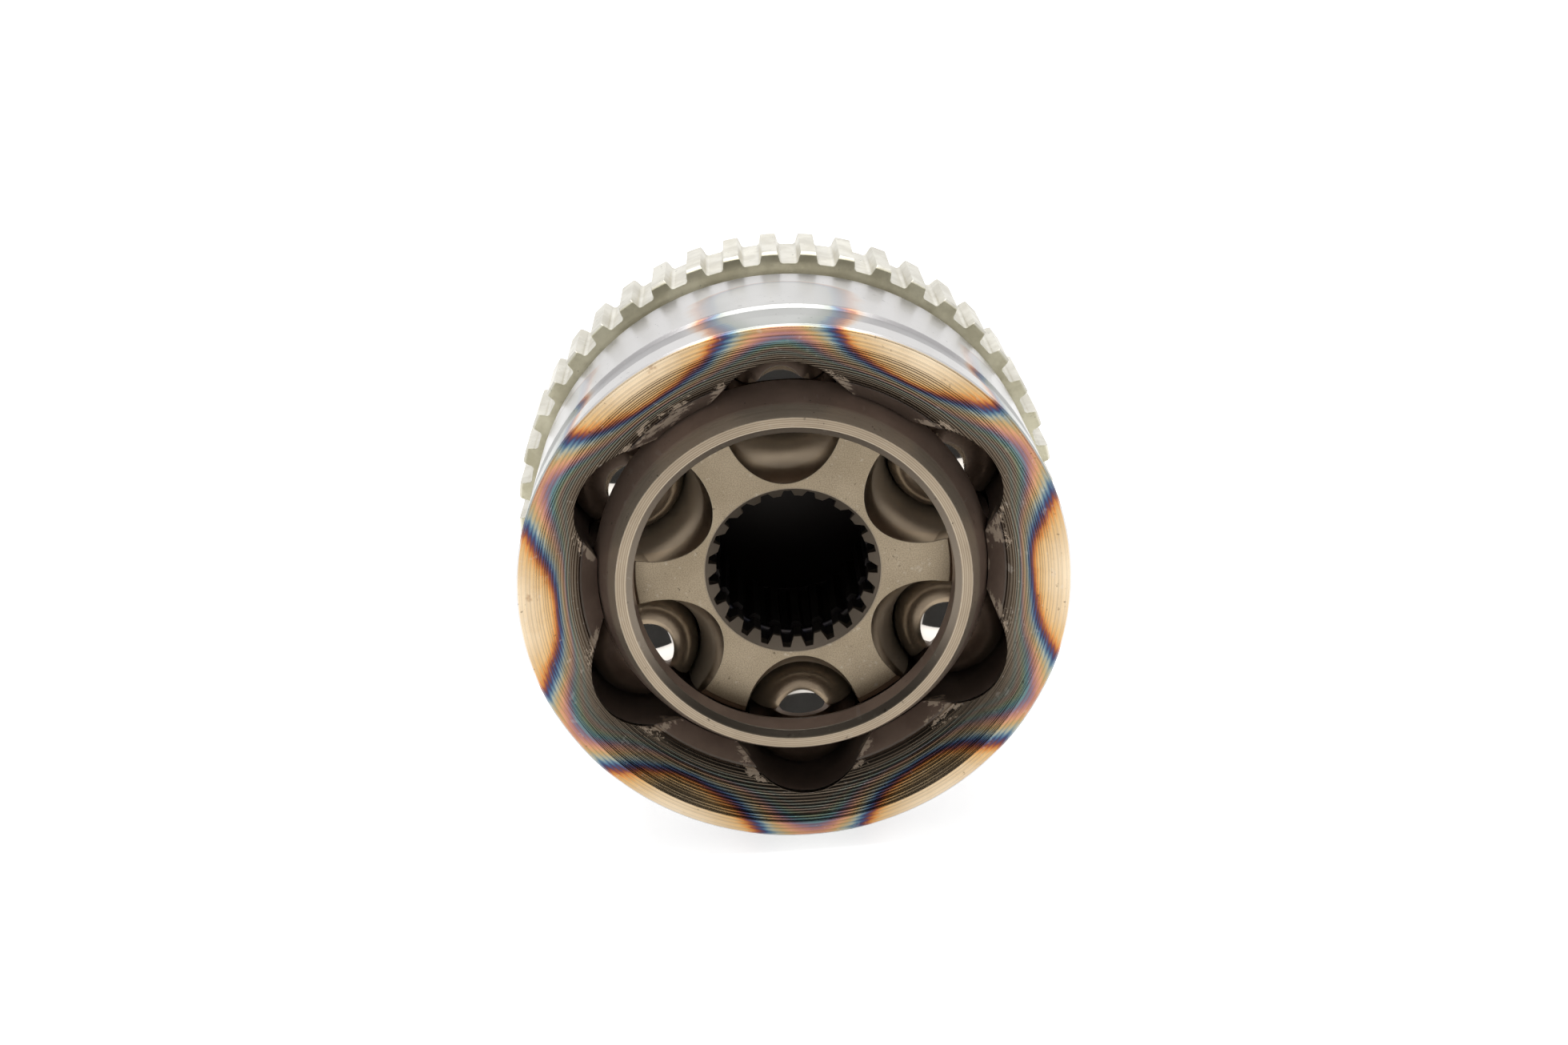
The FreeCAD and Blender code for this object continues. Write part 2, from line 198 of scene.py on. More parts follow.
class Bench:
    """A node tree with short ways to add nodes and join them."""

    def __init__(self, tree):
        self.tree = tree
        tree.nodes.clear()

    def add(self, kind, feeds=(), **settings):
        """A new node with its settings, and its inputs fed by name or number."""
        node = self.tree.nodes.new(kind)
        placed = len(self.tree.nodes)
        node.location = (230 * (placed % 9), -330 * (placed // 9))
        for name, value in settings.items():
            setattr(node, name, value)
        for name, value in dict(feeds).items():
            self.feed(node.inputs[name], value)
        return node

    def feed(self, socket, value):
        """Joins an output to the input, or sets its plain value."""
        if isinstance(value, bpy.types.NodeSocket):
            self.tree.links.new(value, socket)
        else:
            socket.default_value = value

    def math(self, operation, first, second=0.0, third=0.0, clamp=False):
        """The result of one Math node."""
        node = self.add(
            "ShaderNodeMath",
            {0: first, 1: second, 2: third},
            operation=operation,
            use_clamp=clamp,
        )
        return node.outputs[0]

    def vector_math(self, operation, first, second):
        """A Vector Math node."""
        return self.add("ShaderNodeVectorMath", {0: first, 1: second}, operation=operation)

    def total(self, *values):
        """The sum of several values."""
        result = values[0]
        for value in values[1:]:
            result = self.math("ADD", result, value)
        return result

    def product(self, *values):
        """Several values or masks multiplied."""
        result = values[0]
        for value in values[1:]:
            result = self.math("MULTIPLY", result, value)
        return result

    def either(self, *masks):
        """The highest of several masks."""
        result = masks[0]
        for mask in masks[1:]:
            result = self.math("MAXIMUM", result, mask)
        return result

    def inverse(self, mask):
        """One less the mask."""
        return self.math("SUBTRACT", 1.0, mask)

    def span(self, first, second):
        """The distance across two lengths at right angles."""
        squares = self.total(self.product(first, first), self.product(second, second))
        return self.math("SQRT", squares)

    def step(self, value, low, high, start=0.0, end=1.0):
        """Goes smoothly from start to end as the value goes from low to high."""
        node = self.add(
            "ShaderNodeMapRange",
            {"Value": value, "From Min": low, "From Max": high,
             "To Min": start, "To Max": end},
            interpolation_type="SMOOTHSTEP",
        )
        return node.outputs["Result"]

    def spread(self, value, low, high):
        """Goes evenly from nought to one as the value goes from low to high."""
        node = self.add(
            "ShaderNodeMapRange", {"Value": value, "From Min": low, "From Max": high}
        )
        return node.outputs["Result"]

    def mix(self, factor, first, second):
        """Two colours mixed."""
        node = self.add("ShaderNodeMix", data_type="RGBA")
        self.feed(node.inputs[0], factor)
        self.feed(node.inputs[6], first)
        self.feed(node.inputs[7], second)
        return node.outputs[2]

    def layers(self, colour, *layers):
        """The colour with (mask, strength, tone) layers laid over it in turn."""
        for mask, strength, tone in layers:
            colour = self.mix(self.product(mask, strength), colour, tone)
        return colour

    def lerp(self, factor, first, second):
        """Two values mixed."""
        node = self.add("ShaderNodeMix", data_type="FLOAT")
        self.feed(node.inputs[0], factor)
        self.feed(node.inputs[2], first)
        self.feed(node.inputs[3], second)
        return node.outputs[0]

    def ramp(self, factor, stops):
        """A colour from a row of (place, colour) stops."""
        node = self.add("ShaderNodeValToRGB", {"Fac": factor})
        row = node.color_ramp.elements
        while len(row) < len(stops):
            row.new(1.0)
        for element, (place, colour) in zip(row, stops):
            element.position = place
            element.color = colour
        return node.outputs["Color"]

    def noise(self, place, scale, detail, roughness, flat=False):
        """Noise, from a vector, or from one value when flat."""
        kind = "1D" if flat else "3D"
        node = self.add(
            "ShaderNodeTexNoise",
            {"Scale": scale, "Detail": detail, "Roughness": roughness},
            noise_dimensions=kind,
        )
        self.feed(node.inputs["W" if flat else "Vector"], place)
        return node.outputs["Fac"]

    def place(self):
        """The point's place on its own piece, in metres."""
        return self.add("ShaderNodeTexCoord").outputs["Object"]

    def mapped(self, place, **settings):
        """The place turned or stretched by a Mapping node."""
        feeds = {"Vector": place, **settings}
        return self.add("ShaderNodeMapping", feeds).outputs["Vector"]

    def group(self, tree, **feeds):
        """A node group placed in this tree; underscores in names stand for spaces."""
        node = self.add("ShaderNodeGroup", node_tree=tree)
        for name, value in feeds.items():
            self.feed(node.inputs[name.replace("_", " ")], value)
        return node.outputs


def new_group(name, takes, gives):
    """An empty shader node group with named sockets; returns it, its bench and its ends."""
    kinds = {"value": "NodeSocketFloat", "vector": "NodeSocketVector"}
    tree = bpy.data.node_groups.new(name, "ShaderNodeTree")
    bench = Bench(tree)
    for title, kind, default in takes:
        socket = tree.interface.new_socket(
            name=title, in_out="INPUT", socket_type=kinds[kind]
        )
        if default is not None:
            socket.default_value = default
    for title, kind in gives:
        tree.interface.new_socket(
            name=title, in_out="OUTPUT", socket_type=kinds[kind]
        )
    start = bench.add("NodeGroupInput").outputs
    end = bench.add("NodeGroupOutput").inputs
    return tree, bench, start, end


def shared(name, build):
    """The node group of that name, built the first time it is asked for."""
    found = bpy.data.node_groups.get(name)
    return found or build(name)


# ---------------------------------------------------------------- shared effects


def build_axis_place(name):
    """Radius and depth of a point, and its place beside the nearest ball track, in mm."""
    tree, bench, start, end = new_group(
        name,
        [("Place", "vector", None)],
        [("Radius", "value"), ("Depth", "value"), ("Turn", "value"),
         ("Beside Track", "value"), ("Out From Axis", "value")],
    )
    split = bench.add("ShaderNodeSeparateXYZ", {0: start["Place"]}).outputs
    across = bench.math("MULTIPLY", split["X"], 1.0 / MM)
    depth = bench.math("MULTIPLY", split["Y"], 1.0 / MM)
    up = bench.math("MULTIPLY", split["Z"], 1.0 / MM)
    radius = bench.span(across, up)
    turn = bench.math("ARCTAN2", across, up)
    nearest = bench.math("ROUND", bench.math("DIVIDE", turn, TRACK_STEP))
    folded = bench.math("SUBTRACT", turn, bench.math("MULTIPLY", nearest, TRACK_STEP))
    bench.feed(end["Radius"], radius)
    bench.feed(end["Depth"], depth)
    bench.feed(end["Turn"], turn)
    bench.feed(end["Beside Track"], bench.product(radius, bench.math("SINE", folded)))
    bench.feed(end["Out From Axis"], bench.product(radius, bench.math("COSINE", folded)))
    return tree


def build_turned_lines(name):
    """Feed lines left by a lathe tool, round the axis on any turned face."""
    tree, bench, start, end = new_group(
        name,
        [("Radius", "value", 0.0), ("Depth", "value", 0.0), ("Pitch", "value", 0.5),
         ("Regular", "value", 0.5)],
        [("Height", "value"), ("Shade", "value")],
    )
    along = bench.math("SUBTRACT", start["Radius"], start["Depth"])
    counted = bench.math("DIVIDE", along, start["Pitch"])
    drift = bench.noise(counted, 0.23, 2.0, 0.55, flat=True)
    wander = bench.total(counted, bench.math("MULTIPLY", drift, 1.3))
    wave = bench.math("SINE", bench.math("MULTIPLY", wander, 2.0 * math.pi))
    even = bench.math("MULTIPLY_ADD", wave, 0.5, 0.5)
    fine = bench.noise(counted, 2.9, 4.0, 0.7, flat=True)
    broad = bench.noise(counted, 0.31, 2.0, 0.6, flat=True)
    bench.feed(end["Height"], bench.lerp(start["Regular"], fine, even))
    bench.feed(end["Shade"], bench.lerp(0.5, broad, fine))
    return tree


def build_handling(name):
    """Smudges of oil, short scratches, pits and the grain of the steel."""
    tree, bench, start, end = new_group(
        name,
        [("Place", "vector", None), ("Seed", "value", 0.0)],
        [("Smudge", "value"), ("Scratch", "value"), ("Pit", "value"),
         ("Grain", "value")],
    )
    moved = bench.vector_math("ADD", start["Place"], start["Seed"]).outputs["Vector"]
    smudge = bench.noise(moved, 130.0, 4.0, 0.6)
    bench.feed(end["Smudge"], bench.step(smudge, 0.38, 0.68))
    scratches = []
    for angle, scale in ((0.5, 900.0), (1.9, 760.0)):
        turned = bench.mapped(
            moved, Rotation=(angle, 2.2 * angle, 0.7 * angle), Scale=(1.0, 0.06, 1.0)
        )
        streak = bench.noise(turned, scale, 2.0, 0.5)
        scratches.append(bench.step(streak, 0.66, 0.74))
    bench.feed(end["Scratch"], bench.either(*scratches))
    pits = bench.noise(moved, 1500.0, 2.0, 0.5)
    sparse = bench.noise(moved, 210.0, 1.0, 0.5)
    bench.feed(
        end["Pit"],
        bench.product(bench.step(pits, 0.66, 0.74), bench.step(sparse, 0.5, 0.62)),
    )
    bench.feed(end["Grain"], bench.noise(moved, 5200.0, 3.0, 0.7))
    return tree


def build_edge_wear_and_highlight(name):
    """A soft edge: a rounded normal, and a mask that paints every corner bright, as wear and
    as a painted highlight.
    """
    tree, bench, start, end = new_group(
        name,
        [("Place", "vector", None), ("Width", "value", 0.2)],
        [("Normal", "vector"), ("Wear And Highlight", "value")],
    )
    width = bench.math("MULTIPLY", start["Width"], MM)
    rounded = bench.add("ShaderNodeBevel", {"Radius": width}, samples=4).outputs["Normal"]
    facing = bench.add("ShaderNodeNewGeometry").outputs["Normal"]
    alike = bench.vector_math("DOT_PRODUCT", rounded, facing).outputs["Value"]
    edge = bench.step(alike, 0.995, 0.93)
    patchy = bench.noise(start["Place"], 420.0, 3.0, 0.6)
    bench.feed(end["Wear And Highlight"], bench.product(edge, bench.step(patchy, 0.3, 0.6, 0.25, 1.0)))
    bench.feed(end["Normal"], rounded)
    return tree


def new_material(name):
    """A material with a metal shader; returns it with its bench and shader."""
    material = bpy.data.materials.new(name)
    material.use_nodes = True
    bench = Bench(material.node_tree)
    shader = bench.add("ShaderNodeBsdfPrincipled")
    output = bench.add("ShaderNodeOutputMaterial")
    bench.feed(output.inputs["Surface"], shader.outputs["BSDF"])
    return material, bench, shader


def finish_steel(bench, shader, colour, roughness, height, depth, normal, metal=1.0):
    """Feeds the shader its colour, roughness and a bump of that depth in metres."""
    bump = bench.add(
        "ShaderNodeBump",
        {"Height": height, "Distance": depth, "Normal": normal, "Strength": 1.0},
    )
    bench.feed(shader.inputs["Base Color"], colour)
    bench.feed(shader.inputs["Roughness"], roughness)
    bench.feed(shader.inputs["Metallic"], metal)
    bench.feed(shader.inputs["Normal"], bump.outputs["Normal"])


def cover(nodes, material):
    """Gives these CAD nodes the material in place of their plain ones."""
    for name in nodes:
        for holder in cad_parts[name].material_slots:
            holder.material = material


def handling(bench, seed):
    """The marks of handling, different for each seed."""
    group = shared("Handling marks", build_handling)
    return bench.group(group, Place=bench.place(), Seed=seed)


def soft_edges(bench):
    """The rounded normal of a piece's corners, and their mask of wear and painted highlight.
    """
    group = shared("Worn and highlighted edges", build_edge_wear_and_highlight)
    return bench.group(group, Place=bench.place(), Width=0.18)


def axis_place(bench):
    """The radius, depth and turn of a point about the joint's axis."""
    return bench.group(shared("Axis place", build_axis_place), Place=bench.place())


def turned_lines(bench, axis, pitch, regular):
    """A tool's lines of that pitch in mm, from ragged at nought to even at one."""
    return bench.group(
        shared("Turned lines", build_turned_lines),
        Radius=axis["Radius"], Depth=axis["Depth"], Pitch=pitch, Regular=regular,
    )


# ---------------------------------------------------------------- the bell


def track_gap(bench, out, beside, depth, sizes):
    """How far a point stands from the groove of a ball track, in mm."""
    ahead = bench.math("ADD", depth, sizes.track_offset / MM)
    above = bench.math("SUBTRACT", bench.span(out, ahead), sizes.track_path / MM)
    from_path = bench.span(above, beside)
    return bench.math("SUBTRACT", from_path, sizes.track_radius / MM)


def fading_heat(bench, distance, reach, heat):
    """Heat that falls away with the distance, in mm, from where it went in."""
    share = bench.math("EXPONENT", bench.math("DIVIDE", distance, -reach / MM))
    return bench.product(share, heat)


def hardening_heat(bench, axis, marks, sizes):
    """How hot hardening made the steel: the tracks' heat and the hollow's together.

    The point's turn swings smoothly between the tracks here, so that the heat's edge is
    rounded where two tracks meet.
    """
    radius, depth = axis["Radius"], axis["Depth"]
    swing = bench.math("ABSOLUTE", bench.math("SINE", bench.product(axis["Turn"], TRACKS / 2)))
    rounded = bench.product(swing, sizes.heat_swing)
    out = bench.product(radius, bench.math("COSINE", rounded))
    beside = bench.product(radius, bench.math("SINE", rounded))
    gap = track_gap(bench, out, beside, depth, sizes)
    tracks = fading_heat(bench, gap, sizes.track_heat_reach, sizes.track_heat)
    from_hollow = bench.math(
        "SUBTRACT", bench.span(radius, depth), sizes.hollow_radius / MM
    )
    hollow = fading_heat(bench, from_hollow, sizes.hollow_heat_reach, sizes.hollow_heat)
    short_of_ends = bench.step(depth, 11.6, 2.56)
    blur = bench.math("SUBTRACT", marks["Smudge"], 0.5)
    return bench.total(
        bench.product(tracks, short_of_ends), hollow, bench.math("MULTIPLY", blur, 0.012)
    )


def heat_film(bench, heat):
    """The colour of the film that this heat leaves."""
    return bench.ramp(bench.spread(heat, *HEAT_SPAN), HEAT_STOPS)


def heated_mouth(bench, heat, rippled, lines, on_cone, radius):
    """Turned steel in heat colours, with painted shade between the tool's lines and a darker
    tone at random.
    """
    second_time = bench.product(
        bench.step(rippled, 0.385, 0.42), bench.step(rippled, 0.62, 0.54),
        bench.step(radius, *SECOND_HEAT_RADIUS),
    )
    speckles = bench.step(bench.noise(bench.place(), 160.0, 4.0, 0.7), 0.6, 0.68)
    cool = bench.step(heat, 0.33, 0.3)
    film = bench.layers(
        heat_film(bench, rippled),
        (second_time, 0.6, SECOND_HEAT),
        (bench.product(speckles, cool), 0.45, HEAT_STAIN),
    )
    # Painted shade between the tool's lines on the cone, and a random darker tone.
    painted_line_shade = bench.step(lines["Height"], 0.5, 0.1, 0.0, 0.5)
    uneven = bench.step(lines["Shade"], 0.4, 0.7, 0.0, 0.16)
    painted_shade_and_tone = bench.total(bench.product(painted_line_shade, on_cone), uneven)
    return bench.mix(painted_shade_and_tone, film, PAINTED_LINE_SHADE_AND_TONE)


def heated_barrel(bench, heat, rippled, depth, ground_steel):
    """Ground steel with arches of heat colour over the tracks, and painted shade in the boot's
    groove.
    """
    thin_film = heat_film(bench, bench.math("MINIMUM", rippled, 0.412))
    arches = bench.product(
        bench.step(heat, 0.33, 0.36), bench.step(heat, 0.47, 0.4, 0.45, 1.0),
        bench.step(depth, *ARCHES_DEPTH, 0.32, 0.85),
    )
    # Painted shade: the boot's groove is darkened, less where the heat arches cross it.
    groove = bench.product(
        bench.step(depth, *GROOVE_FRONT_DEPTH), bench.step(depth, *GROOVE_BACK_DEPTH),
        bench.step(heat, 0.31, 0.37, 0.5, 0.14),
    )
    return bench.mix(groove, bench.mix(arches, ground_steel, thin_film), BOOT_GROOVE_PAINTED_SHADE)


def bell_scuffs(bench, gap, depth, inside):
    """Mask of the ragged rubs beside the tracks and in patches round the throat."""
    stretched = bench.mapped(bench.place(), Scale=(1.0, 2.4, 1.0))
    ragged = bench.noise(stretched, 520.0, 5.0, 0.72)
    patches = bench.noise(bench.place(), 95.0, 1.0, 0.5)
    beside_track = bench.product(bench.step(gap, 0.1, 0.35), bench.step(gap, 2.4, 0.7))
    rubbed = bench.product(
        bench.step(depth, *SCUFFS_FRONT_DEPTH), bench.step(depth, *SCUFFS_BACK_DEPTH), inside,
        bench.either(beside_track, bench.step(patches, 0.5, 0.64, 0.0, 0.8)),
    )
    return bench.product(
        bench.step(bench.math("MULTIPLY_ADD", rubbed, 0.16, ragged), 0.6, 0.65),
        bench.step(rubbed, 0.1, 0.4), bench.step(gap, 0.0, 0.2),
    )


def bell_steel(sizes, colours):
    """Bright ground barrel, turned mouth with heat colours, dark hardened inside with painted
    shade deeper in.
    """
    material, bench, shader = new_material("Bell steel")
    axis, marks, edges = axis_place(bench), handling(bench, 0.11), soft_edges(bench)
    radius, depth = axis["Radius"], axis["Depth"]
    mouth_lines = turned_lines(bench, axis, sizes.mouth_pitch / MM, 0.72)
    fine_lines = turned_lines(bench, axis, sizes.fine_pitch / MM, 0.1)
    gap = track_gap(bench, axis["Out From Axis"], axis["Beside Track"], depth, sizes)
    heat = hardening_heat(bench, axis, marks, sizes)
    ripple = bench.math("SUBTRACT", mouth_lines["Height"], 0.5)
    rippled = bench.total(heat, bench.math("MULTIPLY", ripple, 0.014))

    inside = bench.step(radius, *INNER_WALL_RADIUS)
    front = bench.step(depth, *MOUTH_DEPTH)
    floor = bench.product(
        bench.step(radius, *HOLLOW_WALL_RADIUS), bench.step(depth, *HOLLOW_FLOOR_DEPTH)
    )
    tail = bench.product(bench.step(depth, *TAIL_DEPTH), bench.inverse(floor))
    mouth = bench.either(bench.product(inside, front), bench.step(depth, *RIM_DEPTH))
    hollow = bench.product(inside, bench.inverse(front), bench.inverse(tail))
    outside = bench.inverse(hollow)
    on_cone = bench.product(
        bench.step(radius, *CONE_RADIUS, 0.5, 1.0), bench.step(heat, 0.3, 0.38, 0.6, 1.0)
    )
    scuff = bell_scuffs(bench, gap, depth, inside)

    tail_steel = bench.mix(
        bench.step(fine_lines["Shade"], 0.35, 0.7), TAIL_DULL, TAIL_BRIGHT
    )
    hardened = bench.mix(marks["Smudge"], colours.hardened_steel, HARDENED_WARM)
    # Painted shade: the hollow darkens deeper in, towards the bell's closed end.
    hardened = bench.mix(bench.step(depth, *HOLLOW_PAINTED_SHADE_DEPTH), hardened, HOLLOW_PAINTED_SHADE)
    colour = heated_barrel(bench, heat, rippled, depth, colours.ground_steel)
    colour = bench.mix(tail, colour, tail_steel)
    colour = bench.mix(
        mouth, colour, heated_mouth(bench, heat, rippled, mouth_lines, on_cone, radius)
    )
    colour = bench.mix(hollow, colour, hardened)
    colour = bench.layers(
        bench.mix(scuff, colour, colours.scuffed_steel),
        # Corners painted brighter: partly wear, partly a painted highlight.
        (edges["Wear And Highlight"], 0.28, BELL_EDGE_WEAR_AND_HIGHLIGHT),
        (bench.product(marks["Scratch"], outside), 0.12, BELL_SCRATCH),
        (bench.product(marks["Pit"], outside), 0.5, BELL_PIT),
    )

    rough = bench.lerp(mouth, 0.3, 0.22)
    rough = bench.lerp(hollow, rough, 0.4)
    rough = bench.lerp(tail, rough, 0.3)
    rough = bench.total(rough, bench.math("MULTIPLY", marks["Smudge"], 0.07),
                        bench.math("MULTIPLY", scuff, 0.35))
    height = bench.total(
        bench.product(mouth_lines["Height"], mouth, on_cone),
        bench.product(fine_lines["Height"], bench.inverse(mouth), outside, 0.12),
        bench.product(marks["Grain"], bench.either(mouth, hollow), 0.04),
        bench.math("MULTIPLY", scuff, 0.5),
    )
    finish_steel(
        bench, shader, colour, rough, height, sizes.line_depth, edges["Normal"],
        bench.lerp(hollow, 1.0, 0.5),
    )
    return material


# ---------------------------------------------------------------- other finishes


def plated_ring(colours):
    """Zinc-plated sensor ring: pale teeth, duller front face with water stains."""
    material, bench, shader = new_material("Plated ring")
    axis, marks, edges = axis_place(bench), handling(bench, 0.37), soft_edges(bench)
    lines = turned_lines(bench, axis, 0.4, 0.1)
    face = bench.step(axis["Depth"], *RING_FACE_DEPTH)
    clouds = bench.noise(bench.place(), 240.0, 4.0, 0.6)
    plate = bench.mix(bench.step(clouds, 0.35, 0.65), colours.zinc, ZINC_DULL)
    stained = bench.mix(bench.step(clouds, 0.3, 0.7), RING_FACE_PALE, RING_FACE_DULL)
    colour = bench.layers(
        bench.mix(face, plate, stained),
        (marks["Pit"], 0.6, RING_PIT),
        # Corners painted brighter: partly wear, partly a painted highlight.
        (edges["Wear And Highlight"], 0.6, RING_EDGE_WEAR_AND_HIGHLIGHT),
    )
    rough = bench.total(bench.lerp(face, 0.36, 0.46),
                        bench.math("MULTIPLY", marks["Smudge"], 0.1))
    height = bench.total(
        bench.math("MULTIPLY", clouds, 0.9),
        bench.math("MULTIPLY", marks["Grain"], 0.25),
        bench.product(lines["Height"], face, 0.25),
    )
    finish_steel(bench, shader, colour, rough, height, 0.05 * MM, edges["Normal"])
    return material


def cage_steel(sizes, colours):
    """Turned pale face and cone with painted shade between the face's lines, dark satin sphere
    and windows.
    """
    material, bench, shader = new_material("Cage steel")
    axis, marks, edges = axis_place(bench), handling(bench, 0.53), soft_edges(bench)
    radius, depth = axis["Radius"], axis["Depth"]
    lines = turned_lines(bench, axis, sizes.face_pitch / MM, 0.25)
    face = bench.step(depth, *CAGE_FACE_DEPTH)
    band = bench.product(
        bench.step(depth, *CAGE_BAND_DEPTH), bench.step(radius, *CAGE_BAND_RADIUS)
    )
    bevel = bench.product(
        bench.step(radius, *CAGE_BEVEL_RADIUS), bench.step(depth, *CAGE_BEVEL_DEPTH)
    )
    # Painted shade between the tool's lines on the turned face.
    turned = bench.mix(
        bench.step(lines["Height"], 0.35, 0.65), CAGE_FACE_PAINTED_LINE_SHADE, colours.turned_steel
    )
    satin = bench.mix(marks["Smudge"], colours.cage_satin, CAGE_SATIN_WARM)
    colour = bench.mix(bench.math("MULTIPLY", band, 0.9), satin, CAGE_BAND)
    colour = bench.mix(bevel, colour, CAGE_BEVEL)
    colour = bench.layers(
        bench.mix(face, colour, turned),
        # Corners painted brighter: partly wear, partly a painted highlight.
        (edges["Wear And Highlight"], 0.7, CAGE_EDGE_WEAR_AND_HIGHLIGHT),
        (marks["Scratch"], 0.14, CAGE_SCRATCH),
        (marks["Pit"], 0.6, CAGE_PIT),
    )
    rough = bench.lerp(face, 0.4, 0.42)
    rough = bench.total(rough, bench.math("MULTIPLY", marks["Smudge"], 0.08))
    rough = bench.lerp(bevel, rough, 0.3)
    height = bench.total(
        bench.product(lines["Height"], bench.lerp(bench.either(face, band), 0.25, 0.8)),
        bench.math("MULTIPLY", marks["Grain"], 0.12),
    )
    bright = bench.either(face, bevel, bench.math("MULTIPLY", band, 0.6))
    finish_steel(
        bench, shader, colour, rough, height, 0.03 * MM, edges["Normal"],
        bench.lerp(bright, 0.35, 1.0),
    )
    return material


def hub_steel(sizes, colours):
    """Dull ground face with fine scratches, smooth ball grooves and oiled splines, painted
    near black as the bore's shade.
    """
    material, bench, shader = new_material("Inner race steel")
    axis, marks, edges = axis_place(bench), handling(bench, 0.71), soft_edges(bench)
    radius, depth = axis["Radius"], axis["Depth"]
    lines = turned_lines(bench, axis, sizes.face_pitch / MM, 0.15)
    face = bench.step(depth, *HUB_FACE_DEPTH)
    bore = bench.step(radius, *HUB_BORE_RADIUS)
    tooth_ends = bench.step(depth, *TOOTH_ENDS_DEPTH)
    cloudy = bench.step(bench.noise(bench.place(), 90.0, 3.0, 0.6), 0.3, 0.7)
    ground = bench.mix(
        bench.step(marks["Grain"], 0.58, 0.42, 0.0, 0.4),
        bench.mix(cloudy, colours.hub_face, HUB_FACE_PALE), HUB_FACE_GRAIN,
    )
    groove = bench.mix(cloudy, HUB_GROOVE_PALE, HUB_GROOVE_DULL)
    # Oil and painted shade: past their front ends the splines are painted near black, darker
    # than the steel.
    oil_and_painted_shade = bench.mix(marks["Smudge"], BORE_OIL_AND_PAINTED_SHADE, BORE_THIN_OIL_AND_PAINTED_SHADE)
    oil_and_painted_shade = bench.mix(tooth_ends, oil_and_painted_shade, SPLINE_ENDS)
    colour = bench.mix(face, groove, ground)
    colour = bench.layers(
        bench.mix(bore, colour, oil_and_painted_shade),
        # Corners painted brighter: partly wear, partly a painted highlight.
        (bench.product(edges["Wear And Highlight"], bench.inverse(bore)), 0.7, HUB_EDGE_WEAR_AND_HIGHLIGHT),
        (bench.product(marks["Scratch"], face), 0.32, HUB_SCRATCH),
        (bench.product(marks["Pit"], face), 0.6, HUB_PIT),
    )
    rough = bench.lerp(face, 0.3, 0.42)
    rough = bench.lerp(bore, rough, 0.5)
    rough = bench.total(rough, bench.product(marks["Smudge"], face, 0.06))
    height = bench.total(
        bench.product(lines["Height"], face, 0.35),
        bench.product(marks["Grain"], bench.lerp(face, 0.1, 1.0)),
    )
    finish_steel(
        bench, shader, colour, rough, height, 0.02 * MM, edges["Normal"],
        bench.lerp(bench.either(face, tooth_ends), 0.5, 1.0),
    )
    return material


def ball_steel(colours):
    """Polished balls with a faint haze of oil and fine scratches."""
    material, bench, shader = new_material("Ball steel")
    marks = handling(bench, 0.93)
    haze = bench.math("MULTIPLY", marks["Smudge"], 0.5)
    colour = bench.mix(haze, colours.polished_steel, BALL_HAZE)
    rough = bench.math("MULTIPLY_ADD", marks["Smudge"], 0.05, 0.05)
    smooth = bench.add("ShaderNodeNewGeometry").outputs["Normal"]
    finish_steel(bench, shader, colour, rough, marks["Scratch"], 0.002 * MM, smooth)
    return material


def thread_steel(sizes):
    """Rolled thread: bright crests, flanks with a little oil in them."""
    material, bench, shader = new_material("Thread steel")
    axis, marks, edges = axis_place(bench), handling(bench, 0.47), soft_edges(bench)
    crest_radius = sizes.thread_crest / MM
    crest = bench.step(axis["Radius"], crest_radius - 0.22, crest_radius - 0.02)
    flank = bench.mix(marks["Smudge"], THREAD_FLANK, THREAD_OILY)
    colour = bench.layers(
        bench.mix(crest, flank, THREAD_CREST), (marks["Pit"], 0.4, THREAD_PIT)
    )
    rough = bench.math("MULTIPLY_ADD", marks["Smudge"], 0.1, 0.28)
    finish_steel(bench, shader, colour, rough, marks["Grain"], 0.008 * MM, edges["Normal"])
    return material


def spring_steel():
    """Blued spring wire."""
    material, bench, shader = new_material("Spring steel")
    marks, edges = handling(bench, 0.29), soft_edges(bench)
    colour = bench.mix(marks["Smudge"], SPRING_BLUE, SPRING_BROWN)
    # Corners painted brighter: partly wear, partly a painted highlight.
    colour = bench.mix(edges["Wear And Highlight"], colour, SPRING_EDGE_WEAR_AND_HIGHLIGHT)
    rough = bench.math("MULTIPLY_ADD", marks["Smudge"], 0.12, 0.28)
    finish_steel(bench, shader, colour, rough, marks["Grain"], 0.01 * MM, edges["Normal"])
    return material


# ---------------------------------------------------------------- the stud's thread


THREAD_SINK = 0.1 * MM
WELD_DISTANCE = 0.0001 * MM
FACETS_PER_TURN = 72


